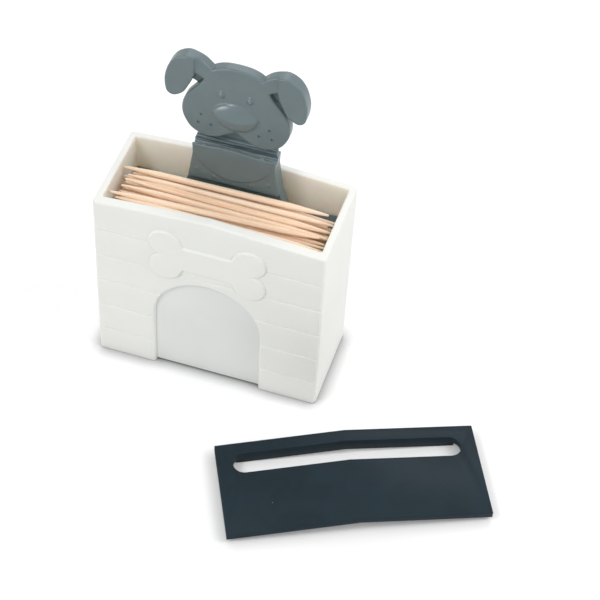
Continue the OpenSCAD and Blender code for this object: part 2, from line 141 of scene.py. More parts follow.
def makeMouldedSkin():
    group, given, out = startGroup("mouldedSkin", [
        ("Place", "NodeSocketVector", None), ("Grain Size", "NodeSocketFloat", 2500.0),
        ("Flow Size", "NodeSocketFloat", 90.0), ("Rough", "NodeSocketFloat", 0.45),
        ("Rough Change", "NodeSocketFloat", 0.08),
    ], [("Height", "NodeSocketFloat"), ("Roughness", "NodeSocketFloat"), ("Flow", "NodeSocketFloat")])
    grain = addNode(group, "ShaderNodeTexNoise", None, {
        "Vector": given.outputs["Place"], "Scale": given.outputs["Grain Size"],
        "Detail": 3.0, "Roughness": 0.6})
    flow = addNode(group, "ShaderNodeTexNoise", None, {
        "Vector": given.outputs["Place"], "Scale": given.outputs["Flow Size"],
        "Detail": 2.0, "Distortion": 0.6})
    fine = mathNode(group, "MULTIPLY", grain.outputs["Fac"], 0.35)
    height = mathNode(group, "MULTIPLY_ADD", flow.outputs["Fac"], 0.9, fine)
    swing = mathNode(group, "SUBTRACT", flow.outputs["Fac"], 0.5)
    rough = mathNode(group, "MULTIPLY_ADD", swing, given.outputs["Rough Change"], given.outputs["Rough"])
    group.links.new(height, out.inputs["Height"])
    group.links.new(rough, out.inputs["Roughness"])
    group.links.new(flow.outputs["Fac"], out.inputs["Flow"])
    return group


def makeSpecks():
    group, given, out = startGroup("straySpecks", [
        ("Place", "NodeSocketVector", None), ("Cell Size", "NodeSocketFloat", 260.0),
        ("Speck", "NodeSocketFloat", 0.07), ("Share", "NodeSocketFloat", 0.06),
    ], [("Mask", "NodeSocketFloat")])
    cells = addNode(group, "ShaderNodeTexVoronoi", None, {
        "Vector": given.outputs["Place"], "Scale": given.outputs["Cell Size"]})
    near = mathNode(group, "LESS_THAN", cells.outputs["Distance"], given.outputs["Speck"])
    pick = addNode(group, "ShaderNodeSeparateColor", None, {"Color": cells.outputs["Color"]})
    chosen = mathNode(group, "LESS_THAN", pick.outputs[0], given.outputs["Share"])
    group.links.new(mathNode(group, "MULTIPLY", near, chosen), out.inputs["Mask"])
    return group


mouldedSkin = makeMouldedSkin()
straySpecks = makeSpecks()


# materials

skinLook = {
    "ior": 1.46, "glowRadius": (1.0, 0.70, 0.45), "spotFade": 0.0003, "innerFade": 0.0005,   # fades in metres
    # the pale streaks mixed into polished spots are painted highlights
    "highlightStreakNoise": (70, 2600, 2600), "highlightStreakFrom": 0.54, "highlightStreakTo": 0.62, "highlightStreakColour": (0.30, 0.37, 0.39),
}


def boxMask(tree, place, low, high, soft):
    axes = addNode(tree, "ShaderNodeSeparateXYZ", None, {"Vector": place}).outputs
    mask = 1.0
    for k in range(3):
        mask = mathNode(tree, "MULTIPLY", mask, mapRange(tree, axes[k], low[k] - soft, low[k]))
        mask = mathNode(tree, "MULTIPLY", mask, mapRange(tree, axes[k], high[k], high[k] + soft, 1.0, 0.0))
    return mask


def plastic(name, look):
    mat, tree, shader = startMaterial(name)
    place = objectPlace(tree)
    skin = useGroup(tree, mouldedSkin, {
        "Place": place, "Grain Size": look["grain"], "Flow Size": look["flow"],
        "Rough": look["rough"], "Rough Change": look["roughChange"]})
    tone = mapRange(tree, skin.outputs["Flow"], 0.35, 0.65)
    colour = mixColour(tree, tone, (*look["colour"], 1), (*look["colourTwo"], 1))
    specks = useGroup(tree, straySpecks, {
        "Place": place, "Cell Size": look["speckCell"], "Speck": look["speck"], "Share": look["speckShare"]})
    colour = mixColour(tree, specks.outputs["Mask"], colour, (*look["speckColour"], 1))
    bump = addNode(tree, "ShaderNodeBump", None, {
        "Height": skin.outputs["Height"], "Strength": look["bump"], "Distance": look["bumpDepth"]})
    rough = skin.outputs["Roughness"]
    for spot in look.get("polished", ()):   # smoother places, some with pale streaks of painted highlight
        mask = boxMask(tree, place, spot["low"], spot["high"], skinLook["spotFade"])
        highlightStreakNoise = addNode(tree, "ShaderNodeTexNoise", None, {
            "Vector": objectPlace(tree, skinLook["highlightStreakNoise"]), "Scale": 1.0, "Detail": 3.0})
        paintedHighlightStreaks = mapRange(tree, highlightStreakNoise.outputs["Fac"], skinLook["highlightStreakFrom"], skinLook["highlightStreakTo"],
                           0.0, spot["paintedHighlightStreaks"])
        paintedSpotColour = mixColour(tree, paintedHighlightStreaks, (*spot["colour"], 1), (*skinLook["highlightStreakColour"], 1))
        colour = mixColour(tree, mask, colour, paintedSpotColour)
        rough = mathNode(tree, "MULTIPLY_ADD", mask, -spot["smoother"], rough)
    tree.links.new(colour, shader.inputs["Base Color"])
    tree.links.new(rough, shader.inputs["Roughness"])
    tree.links.new(bump.outputs["Normal"], shader.inputs["Normal"])
    shader.inputs["IOR"].default_value = skinLook["ior"]
    shader.inputs["Specular IOR Level"].default_value = look["shine"]
    shader.inputs["Subsurface Weight"].default_value = look.get("glow", 0.0)
    shader.inputs["Subsurface Radius"].default_value = skinLook["glowRadius"]
    shader.inputs["Subsurface Scale"].default_value = look.get("glowDepth", 0.001)
    if "innerGlowAndPaintedBounce" in look:   # the thin walls let light through to the inside; the warmer inside colour is painted warm light bounced off the wood
        inner = look["innerGlowAndPaintedBounce"]
        mask = boxMask(tree, place, inner["low"], inner["high"], skinLook["innerFade"])
        glow = mathNode(tree, "MULTIPLY_ADD", mask, inner["weight"] - look["glow"], look["glow"])
        tree.links.new(glow, shader.inputs["Subsurface Weight"])
        tree.links.new(mixColour(tree, mask, colour, (*inner["colour"], 1)), shader.inputs["Base Color"])
    return mat


housePlastic = plastic("warmWhitePlastic", {
    "colour": (0.845, 0.85, 0.81), "colourTwo": (0.86, 0.865, 0.83), "grain": 2600.0, "flow": 70.0,
    "rough": 0.45, "roughChange": 0.12, "bump": 0.3, "bumpDepth": 0.00005, "shine": 0.12,
    "speckCell": 300.0, "speck": 0.05, "speckShare": 0.015, "speckColour": (0.66, 0.64, 0.58),
    "glow": 0.06, "glowDepth": 0.004,
    "innerGlowAndPaintedBounce": {
        # the inside colour is painted warm bounce light from the wood
        "weight": 0.6, "colour": (0.87, 0.845, 0.785),
        "low": (-0.0354, -0.0140, 0), "high": (0.0354, 0.0151, 0.08),
    },
})
doorPlastic = plastic("coolWhitePlastic", {
    "colour": (0.77, 0.785, 0.77), "colourTwo": (0.79, 0.805, 0.79), "grain": 2600.0, "flow": 60.0,
    "rough": 0.42, "roughChange": 0.1, "bump": 0.25, "bumpDepth": 0.00005, "shine": 0.2,
    "speckCell": 300.0, "speck": 0.05, "speckShare": 0.01, "speckColour": (0.55, 0.58, 0.58),
})
dogPlastic = plastic("greyBluePlastic", {
    "colour": (0.126, 0.171, 0.182), "colourTwo": (0.139, 0.187, 0.197), "grain": 2200.0, "flow": 110.0,
    "rough": 0.34, "roughChange": 0.14, "bump": 0.35, "bumpDepth": 0.00006, "shine": 0.5,
    "speckCell": 320.0, "speck": 0.06, "speckShare": 0.03, "speckColour": (0.24, 0.30, 0.31),
    "polished": [   # the neck above the lip, darker with painted shade under the chin and with painted highlight streaks, then the nose and the eyes
        # the neck's darker colour is painted shade under the chin
        {"low": (-0.02, 0.0072, 0.0775), "high": (0.02, 0.0106, 0.0816),
         "colour": (0.105, 0.148, 0.163), "smoother": 0.18, "paintedHighlightStreaks": 1.0},
        {"low": (-0.0098, 0, 0.0868), "high": (0.0098, 0.0073, 0.1025),
         "colour": (0.138, 0.187, 0.198), "smoother": 0.08, "paintedHighlightStreaks": 0.0},
    ],
})
roofPlastic = plastic("slatePlastic", {
    "colour": (0.0075, 0.018, 0.0255), "colourTwo": (0.011, 0.024, 0.033), "grain": 1500.0, "flow": 80.0,
    "rough": 0.55, "roughChange": 0.18, "bump": 0.5, "bumpDepth": 0.00008, "shine": 0.2,
    "speckCell": 240.0, "speck": 0.055, "speckShare": 0.05, "speckColour": (0.09, 0.12, 0.13),
})


birch = {
    "grain": (55, 1900, 1900), "bands": (14, 420, 420), "bump": 0.7, "bumpDepth": 0.0001, "shine": 0.15,
    "dark": (0.74, 0.46, 0.28), "light": (0.98, 0.80, 0.63), "pale": (0.98, 0.82, 0.65),
    "warm": (0.88, 0.57, 0.37), "warmShare": 0.35,
    "glow": 0.12, "glowRadius": (1.0, 0.55, 0.3), "glowDepth": 0.0012,
}


def makeWood(w):
    mat, tree, shader = startMaterial("birchWood")
    seed = addNode(tree, "ShaderNodeAttribute", {"attribute_name": "pickSeed"})
    coords = addNode(tree, "ShaderNodeTexCoord")
    shift = addNode(tree, "ShaderNodeVectorMath", {"operation": "ADD"}, {
        0: coords.outputs["Object"], 1: seed.outputs["Vector"]})
    grainPlace = addNode(tree, "ShaderNodeMapping", None, {"Vector": shift.outputs[0], "Scale": w["grain"]})
    grain = addNode(tree, "ShaderNodeTexNoise", None, {
        "Vector": grainPlace.outputs["Vector"], "Scale": 1.0, "Detail": 4.0, "Roughness": 0.65})
    longPlace = addNode(tree, "ShaderNodeMapping", None, {"Vector": shift.outputs[0], "Scale": w["bands"]})
    bands = addNode(tree, "ShaderNodeTexNoise", None, {
        "Vector": longPlace.outputs["Vector"], "Scale": 1.0, "Detail": 2.0})
    fibre = mapRange(tree, grain.outputs["Fac"], 0.34, 0.66)
    tone = mixColour(tree, fibre, (*w["dark"], 1), (*w["light"], 1))
    tone = mixColour(tree, mapRange(tree, bands.outputs["Fac"], 0.35, 0.7), tone, (*w["pale"], 1))
    ages = addNode(tree, "ShaderNodeSeparateXYZ", None, {"Vector": seed.outputs["Vector"]})
    warm = mapRange(tree, ages.outputs[2], 0.0, 1.0, 0.0, w["warmShare"])
    tone = mixColour(tree, warm, tone, (*w["warm"], 1))
    bump = addNode(tree, "ShaderNodeBump", None, {
        "Height": grain.outputs["Fac"], "Strength": w["bump"], "Distance": w["bumpDepth"]})
    tree.links.new(tone, shader.inputs["Base Color"])
    tree.links.new(mapRange(tree, grain.outputs["Fac"], 0.2, 0.8, 0.75, 0.55), shader.inputs["Roughness"])
    tree.links.new(bump.outputs["Normal"], shader.inputs["Normal"])
    shader.inputs["Specular IOR Level"].default_value = w["shine"]
    shader.inputs["Subsurface Weight"].default_value = w["glow"]
    shader.inputs["Subsurface Radius"].default_value = w["glowRadius"]
    shader.inputs["Subsurface Scale"].default_value = w["glowDepth"]
    return mat


toothpickWood = makeWood(birch)


def makeFloorMaterial(look):
    mat, tree, shader = startMaterial("paleTable")
    out = tree.nodes["Material Output"]
    tree.nodes.remove(shader)
    path = addNode(tree, "ShaderNodeLightPath")
    seen = mathNode(tree, "MAXIMUM", path.outputs["Is Camera Ray"], path.outputs["Is Glossy Ray"])
    axes = addNode(tree, "ShaderNodeSeparateXYZ", None, {"Vector": objectPlace(tree)}).outputs
    awayX = mathNode(tree, "SUBTRACT", mathNode(tree, "ABSOLUTE", axes[0]), look["nearX"])
    awayY = mathNode(tree, "SUBTRACT", mathNode(tree, "ABSOLUTE", axes[1]), look["nearY"])
    away = mathNode(tree, "MAXIMUM", awayX, awayY)
    depth = mapRange(tree, away, 0.0, 0.01, *look["paintedContactShade"])   # painted contact shadow where the AO node finds the floor covered, deeper round the house than round the roof
    around = addNode(tree, "ShaderNodeAmbientOcclusion", {"samples": 8}, {"Distance": look["reach"]})
    covered = mathNode(tree, "SUBTRACT", 1.0, around.outputs["AO"])
    shade = mathNode(tree, "SUBTRACT", 1.0, mathNode(tree, "MULTIPLY", depth, covered))
    # the floor's colour and its lift are darkened by the painted contact shadow
    colour = mixColour(tree, shade, (0, 0, 0, 1), (*look["colour"], 1))
    diffuse = addNode(tree, "ShaderNodeBsdfDiffuse", None, {"Color": colour})
    lift = mathNode(tree, "MULTIPLY", seen, look["lift"])
    glow = addNode(tree, "ShaderNodeEmission", None, {"Strength": mathNode(tree, "MULTIPLY", lift, shade)})
    both = addNode(tree, "ShaderNodeAddShader", None, {0: diffuse.outputs[0], 1: glow.outputs[0]})
    tree.links.new(both.outputs[0], out.inputs["Surface"])
    return mat


table = {
    "half": 3.0, "colour": (0.87, 0.87, 0.875), "lift": 0.17,
    # paintedContactShade: how deep the painted contact shadow is near the house and away from it
    "nearX": 0.045, "nearY": 0.026, "paintedContactShade": (0.95, 0.3), "reach": 0.005,
}


def buildFloor(t):
    mesh = bpy.data.meshes.new("tableTop")
    h = t["half"]
    mesh.from_pydata([(-h, -h, 0), (h, -h, 0), (h, h, 0), (-h, h, 0)], [], [(0, 1, 2, 3)])
    floor = bpy.data.objects.new("tableTop", mesh)
    bpy.context.scene.collection.objects.link(floor)
    mesh.materials.append(makeFloorMaterial(t))


buildFloor(table)

studio = {
    "world": 0.63,
    "aim": (0.02, -0.01, 0.04),
    "lamps": {
        "right": {"place": (0.62, 0.02, 0.58), "size": 0.50, "power": 2.3},
        "left": {"place": (-0.38, -0.50, 0.72), "size": 0.22, "power": 2.05},
        "front": {"place": (-0.05, -0.75, 0.80), "size": 0.80, "power": 0.5},
        "behind": {"place": (-0.10, 0.80, 0.60), "size": 0.60, "power": 1.8},
        "glint": {"place": (-0.62, -0.80, 0.15), "size": 0.34, "power": 4.0, "glossOnly": True},
    },
}


def buildLights(s):
    world = bpy.data.worlds.new("studio")
    bpy.context.scene.world = world
    world.use_nodes = True
    tree = world.node_tree
    back = tree.nodes["Background"]
    path = addNode(tree, "ShaderNodeLightPath")
    seen = mathNode(tree, "MAXIMUM", path.outputs["Is Camera Ray"], path.outputs["Is Transmission Ray"])
    seen = mathNode(tree, "MAXIMUM", seen, path.outputs["Is Glossy Ray"])
    strength = mathNode(tree, "MULTIPLY_ADD", seen, 1.0 - s["world"], s["world"])
    tree.links.new(strength, back.inputs["Strength"])
    back.inputs["Color"].default_value = (1, 1, 1, 1)
    for name, look in s["lamps"].items():
        lamp = bpy.data.lights.new(name, "AREA")
        lamp.size, lamp.energy = look["size"], look["power"]
        obj = bpy.data.objects.new(name, lamp)
        bpy.context.scene.collection.objects.link(obj)
        obj.location = look["place"]
        obj.visible_diffuse = not look.get("glossOnly", False)
        aim = Vector(s["aim"]) - Vector(look["place"])
        obj.rotation_euler = aim.to_track_quat("-Z", "Y").to_euler()


buildLights(studio)
print("stage built")


# mesh helpers

def addPiece(name, verts, faces, material, sharpAngle=40):
    mesh = bpy.data.meshes.new(name)
    mesh.from_pydata([tuple(v) for v in verts], [], [tuple(f) for f in faces])
    mesh.validate()
    piece = bpy.data.objects.new(name, mesh)
    bpy.context.scene.collection.objects.link(piece)
    finishMesh(piece, material, sharpAngle)
    return piece


def finishMesh(piece, material, sharpAngle=40):
    bm = bmesh.new()
    bm.from_mesh(piece.data)
    bmesh.ops.remove_doubles(bm, verts=bm.verts, dist=mergeGap)
    bmesh.ops.triangulate(bm, faces=[face for face in bm.faces if len(face.verts) > 4])
    bmesh.ops.dissolve_degenerate(bm, dist=mergeGap, edges=bm.edges)
    seen = {}
    for face in bm.faces:
        seen.setdefault(frozenset(vert.index for vert in face.verts), []).append(face)
    twins = [face for faces in seen.values() if len(faces) > 1 for face in faces]
    bmesh.ops.delete(bm, geom=twins, context="FACES")
    bmesh.ops.recalc_face_normals(bm, faces=bm.faces)
    bm.to_mesh(piece.data)
    bm.free()
    piece.data.polygons.foreach_set("use_smooth", [True] * len(piece.data.polygons))
    piece.data.set_sharp_from_angle(angle=math.radians(sharpAngle))
    piece.data.materials.clear()
    piece.data.materials.append(material)


def smoothLine(points, steps):
    line = []
    count = len(points)
    for i in range(count - 1):
        a, b = points[max(i - 1, 0)], points[i]
        c, d = points[i + 1], points[min(i + 2, count - 1)]
        for k in range(steps):
            t = k / steps
            line.append(tuple(
                0.5 * (2 * b[n] + (c[n] - a[n]) * t + (2 * a[n] - 5 * b[n] + 4 * c[n] - d[n]) * t * t
                       + (3 * b[n] - a[n] - 3 * c[n] + d[n]) * t ** 3) for n in (0, 1)))
    line.append(tuple(points[-1]))
    return line


def mirrored(line):
    return line + [(-x, z) for x, z in line[-2:0:-1]]


def insetLine(line, distance, sharpest=0.4, slack=0.95):
    outline = np.array(line)
    run = np.roll(outline, -1, 0) - outline
    size = np.maximum(np.hypot(run[:, 0], run[:, 1]), 1e-9)
    normal = np.stack([-run[:, 1], run[:, 0]], 1) / size[:, None]
    middle = normal + np.roll(normal, 1, 0)
    middle /= np.maximum(np.hypot(middle[:, 0], middle[:, 1]), 1e-9)[:, None]
    moved = outline + distance * middle / np.maximum((middle * normal).sum(1), sharpest)[:, None]
    if distance > 0.05:   # a point that came too near another edge joins its neighbour
        share = np.clip(((moved[:, None] - outline) * run).sum(2) / size ** 2, 0, 1)
        far = np.hypot(*(moved[:, None] - outline - share[..., None] * run).transpose(2, 0, 1)).min(1)
        good = np.flatnonzero(far > slack * distance)
        count = len(line)
        for i in np.flatnonzero(far <= slack * distance):
            if len(good):
                away = np.abs(good - i)
                moved[i] = moved[good[np.argmin(np.minimum(away, count - away))]]
    return [tuple(point) for point in moved]


def ringStrip(rows, count):   # the faces between rings of points
    faces = []
    for k in range(rows - 1):
        low, high = k * count, (k + 1) * count
        for i in range(count):
            j = (i + 1) % count
            faces.append((low + i, low + j, high + j, high + i))
    return faces


def softPlate(line, front, back, edge, steps=4, frontOf=None):
    rings = [(front + edge * (1 - math.sin(a)), edge * (1 - math.cos(a)))
             for a in [math.pi / 2 * (1 - k / steps) for k in range(steps + 1)]]
    rings += [(back - edge * (1 - math.sin(a)), edge * (1 - math.cos(a)))
              for a in [math.pi / 2 * k / steps for k in range(steps + 1)]]
    verts = []
    count = len(line)
    for depth, inward in rings:
        for x, z in insetLine(line, inward):
            verts.append((x * mm, (depth + (frontOf(z) if frontOf else 0)) * mm, z * mm))
    faces = ringStrip(len(rings), count)
    faces.append(tuple(range(count - 1, -1, -1)))
    faces.append(tuple((len(rings) - 1) * count + i for i in range(count)))
    return verts, faces


def joinParts(parts):
    verts, faces = [], []
    for v, f in parts:
        start = len(verts)
        verts += v
        faces += [tuple(i + start for i in face) for face in f]
    return verts, faces


def ball(centre, radii, rings=16, segments=24):
    verts, faces = [], []
    for r in range(1, rings):
        a = math.pi * r / rings
        for s in range(segments):
            b = 2 * math.pi * s / segments
            verts.append((
                (centre[0] + radii[0] * math.sin(a) * math.cos(b)) * mm,
                (centre[1] + radii[1] * math.sin(a) * math.sin(b)) * mm,
                (centre[2] + radii[2] * math.cos(a)) * mm))
    top, bottom = len(verts), len(verts) + 1
    verts += [(centre[0] * mm, centre[1] * mm, (centre[2] + radii[2]) * mm),
              (centre[0] * mm, centre[1] * mm, (centre[2] - radii[2]) * mm)]
    for s in range(segments):
        n = (s + 1) % segments
        faces.append((top, s, n))
        for r in range(rings - 2):
            low, high = r * segments, (r + 1) * segments
            faces.append((low + s, high + s, high + n, low + n))
        faces.append((bottom, (rings - 2) * segments + n, (rings - 2) * segments + s))
    return verts, faces


# the house, in mm: one surface that runs up the outside, over the rim and down the inside

houseSize = {
    "height": 67.5, "rise": 2.6, "halfWidth": 37.5, "sideLean": 0.3, "halfDepth": 17.2, "faceLean": 1.0,
    "coreHalfWidth": 35.2, "coreFront": -13.8, "coreBack": 14.9, "coreLean": 0.35, "floor": 2.2,
    "cornerRound": 1.2, "coreRound": 0.5, "rimRound": 0.5,
    "footRound": 0.6, "footLift": 0.2, "footShare": 0.3,
    "grooves": (55.9, 44.5, 33.1, 21.7, 10.3), "grooveHalf": 0.36, "grooveDepth": 0.48,
    "doorHalf": 17.6, "doorSpring": 24.0, "recess": 1.7, "archRound": 0.9, "archStep": 0.2,
    "toeHeight": 1.0, "toeDepth": 4.4,
    "plaqueHeight": 52.4, "lobeX": 13.9, "lobeZ": 5.1, "lobeRound": 5.1, "waist": 4.85, "kneeX": 7.78,
    "plaqueRaise": 0.62, "plaqueRound": 0.36, "plaqueBlend": 1.0, "moatHalf": 0.3, "moatDepth": 0.24,
    "frontPart": -10, "flatWithin": 0.35,   # only what lies in front of this y takes the relief
    # the mesh: columns from the middle out as start, end and step, closer where an edge needs them
    "columns": [(0, 16.9, 0.26), (16.9, 18.5, 0.16), (18.5, 20.2, 0.26), (20.2, 34, 1.2), (34, 36.3, 0.45)],
    "stripFrom": 34, "strip": 2.3, "stripTo": 36.3, "sideColumns": 9, "backColumns": 25, "cornerColumns": 7,
    "fineRow": 0.26, "wideRow": 1.6, "grooveRow": 0.11, "besideGroove": 0.55, "fineAbove": 20,
    "topRows": [(63, 0.26), (66.5, 0.9)], "innerRows": (65.5, 60, 45, 30, 15, 3.2),
}


def frontOf(z):
    h = houseSize
    return -h["halfDepth"] + h["faceLean"] * (h["height"] - z) / h["height"]


def archDistance(x, z, h):
    up = np.maximum(z - h["doorSpring"], 0)
    return np.hypot(x, up) - h["doorHalf"]


def plaqueDistance(x, z, h):
    ax, az = np.abs(x), np.abs(z - h["plaqueHeight"])
    lobe = np.hypot(ax - h["lobeX"], az - h["lobeZ"]) - h["lobeRound"]
    shaft = np.maximum(ax - h["lobeX"], az - h["waist"])
    far = math.hypot(h["kneeX"] - h["lobeX"], h["waist"] - h["lobeZ"])
    turn = math.atan2(h["waist"] - h["lobeZ"], h["kneeX"] - h["lobeX"])
    turn -= math.acos(min(1, h["lobeRound"] / far))
    touch = (h["lobeX"] + h["lobeRound"] * math.cos(turn), h["lobeZ"] + h["lobeRound"] * math.sin(turn))
    dx, dz = touch[0] - h["kneeX"], touch[1] - h["waist"]
    size = math.hypot(dx, dz)
    above = (-(ax - h["kneeX"]) * dz + (az - h["waist"]) * dx) / size
    web = np.maximum.reduce([above, h["kneeX"] - ax, ax - touch[0]])
    body = np.minimum(shaft, web)
    blend = np.maximum(h["plaqueBlend"] - np.abs(lobe - body), 0)
    return np.minimum(lobe, body) - blend ** 2 / (4 * h["plaqueBlend"])


def frontRelief(x, z, h):
    depth = np.zeros_like(x)
    for g in h["grooves"]:
        depth = np.maximum(depth, h["grooveDepth"] * (1 - np.abs(z - g) / h["grooveHalf"]))
    plaque = plaqueDistance(x, z, h)
    moat = np.clip(1 - np.abs(plaque - h["moatHalf"]) / h["moatHalf"], 0, 1)
    depth = np.maximum(depth, h["moatDepth"] * moat)
    inside = np.clip(-plaque / h["plaqueRound"], 0, 1)
    depth = np.where(plaque < 0, -h["plaqueRaise"] * np.sqrt(1 - (1 - inside) ** 2), depth)
    arch = archDistance(x, z, h)
    r = h["archRound"]
    curve = r - np.sqrt(np.maximum(r * r - np.clip(r - arch, 0, r) ** 2, 0))
    wall = r + (h["recess"] - r) * np.clip(-arch / h["archStep"], 0, 1)
    depth = np.where(arch < 0, wall, np.where(arch < r, np.maximum(depth, curve), depth))
    return np.where((arch < -h["archStep"]) & (z < h["toeHeight"]), h["toeDepth"], depth)


def spaced(stops):
    line = []
    for start, end, step in stops:
        count = max(1, round((end - start) / step))
        line += [start + (end - start) * k / count for k in range(count)]
    return line + [stops[-1][1]]


def buildHouse(h):
    half = spaced(h["columns"])
    across = np.array([-x for x in half[:0:-1]] + half)
    sideSteps = np.linspace(0, 1, h["sideColumns"])[1:-1]
    backSteps = np.linspace(1, -1, h["backColumns"])[1:-1]
    cornerSteps = np.linspace(0, 1, h["cornerColumns"])

    def ring(halfX, front, back, r):   # once round, from the front wall's left end
        reach = halfX - r
        out, even = np.abs(across), h["stripFrom"]
        drawnIn = even + (out - even) / h["strip"] * (reach - even)
        fx = np.where(out > even, np.sign(across) * drawnIn, across)
        if halfX < h["stripTo"]:   # the inside, whose columns are spread evenly
            fx = across / h["stripTo"] * reach
        xs, ys = [fx], [np.full_like(fx, front)]

        def corner(cx, cy, start, steps):
            a = np.radians(start + 90 * steps)
            xs.append(cx + r * np.cos(a))
            ys.append(cy + r * np.sin(a))

        def run(lineX, lineY, endX, endY):
            xs.extend([lineX, np.array([endX])])
            ys.extend([lineY, np.array([endY])])

        straight = back - front - 2 * r
        corner(reach, front + r, -90, cornerSteps[1:])
        run(np.full_like(sideSteps, halfX), front + r + straight * sideSteps, halfX, back - r)
        corner(reach, back - r, 0, cornerSteps[1:])
        run(reach * backSteps, np.full_like(backSteps, back), -reach, back)
        corner(-reach, back - r, 90, cornerSteps[1:])
        run(np.full_like(sideSteps, -halfX), back - r - straight * sideSteps, -halfX, front + r)
        corner(-reach, front + r, 180, cornerSteps[1:-1])
        return np.concatenate(xs), np.concatenate(ys)

    def rimHeight(x):
        return h["height"] + h["rise"] * (1 - np.abs(x) / h["halfWidth"])

    def outer(z, inward=0.0):
        low = (h["height"] - z) / h["height"]
        depth = h["halfDepth"] - h["faceLean"] * low
        halfX = h["halfWidth"] - h["sideLean"] * low - inward
        return ring(halfX, -depth + inward, depth - inward, max(h["cornerRound"] - inward, 0.2))

    def inner(z, inward=0.0):
        low = (h["height"] - z) / h["height"] * h["coreLean"]
        front, back = h["coreFront"] + low - inward, h["coreBack"] - low + inward
        return ring(h["coreHalfWidth"] - low + inward, front, back, h["coreRound"] + inward)

    rows = []

    def addRow(flat, z):
        rows.append((flat[0], flat[1], z if np.ndim(z) else np.full_like(flat[0], z)))

    toe, beside = h["toeHeight"], h["besideGroove"]
    stops = [(h["footRound"], toe - 0.01, 0.4), (toe - 0.01, toe + 0.01, 0.02)]
    level = toe + 0.01
    for g in sorted(h["grooves"]):
        step = h["fineRow"] if level > h["fineAbove"] else h["wideRow"]
        stops += [(level, g - beside, step), (g - beside, g + beside, h["grooveRow"])]
        level = g + beside
    for end, step in h["topRows"]:
        stops.append((level, end, step))
        level = end
    addRow(outer(0, h["footRound"]), 0)
    addRow(outer(h["footLift"], h["footRound"] * h["footShare"]), h["footLift"])
    for z in spaced(stops):
        addRow(outer(z), z)
    for x, y, z in rows:   # the front's boards, doorway and plaque
        surface = frontOf(z) + frontRelief(x, z, h)
        flat = np.abs(y - frontOf(z)) < h["flatWithin"]
        y[:] = np.where(y < h["frontPart"], np.where(flat, surface, np.maximum(y, surface)), y)
    r = h["rimRound"]
    for side, angles in ((outer, np.linspace(0, math.pi / 2, 5)), (inner, np.linspace(math.pi / 2, 0, 5))):
        for a in angles:
            edge = side(h["height"], r * (1 - math.cos(a)))
            addRow(edge, rimHeight(edge[0]) - r + r * math.sin(a))
    for z in (*h["innerRows"], h["floor"]):
        addRow(inner(z), z)
    count = len(rows[0][0])
    verts = np.concatenate([np.stack(row, 1) for row in rows]) * mm
    faces = ringStrip(len(rows), count)
    faces.append(tuple(range(count - 1, -1, -1)))
    last = (len(rows) - 1) * count
    faces.append(tuple(last + i for i in range(count)))
    piece = addPiece("houseWalls", verts, faces, housePlastic, 38)
    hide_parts("house_shell")
    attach(piece, "house")
    print("house walls:", len(verts), "points")


buildHouse(houseSize)


# the door panel in its recess

door = {"gap": 0.06, "front": 1.12, "back": 1.7, "edge": 0.15, "archSteps": 64, "sideSteps": 4}


def buildDoor(d, h):
    r = h["doorHalf"] - d["gap"]
    foot, spring, side = h["toeHeight"], h["doorSpring"], d["sideSteps"]
    rise = [foot + (spring - foot) * k / side for k in range(1, side)]
    line = [(-r, foot), (r, foot)] + [(r, z) for z in rise]
    for k in range(d["archSteps"] + 1):
        a = math.pi * k / d["archSteps"]
        line.append((r * math.cos(a), spring + r * math.sin(a)))
    line += [(-r, z) for z in rise[::-1]]
    verts, faces = softPlate(line, d["front"], d["back"], d["edge"], 3, frontOf)
    piece = addPiece("doorPanel", verts, faces, doorPlastic, 50)
    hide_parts("door_panel")
    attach(piece, "house")


buildDoor(door, houseSize)
print("door built")


# the dog, in mm: solid pieces melted into one moulding

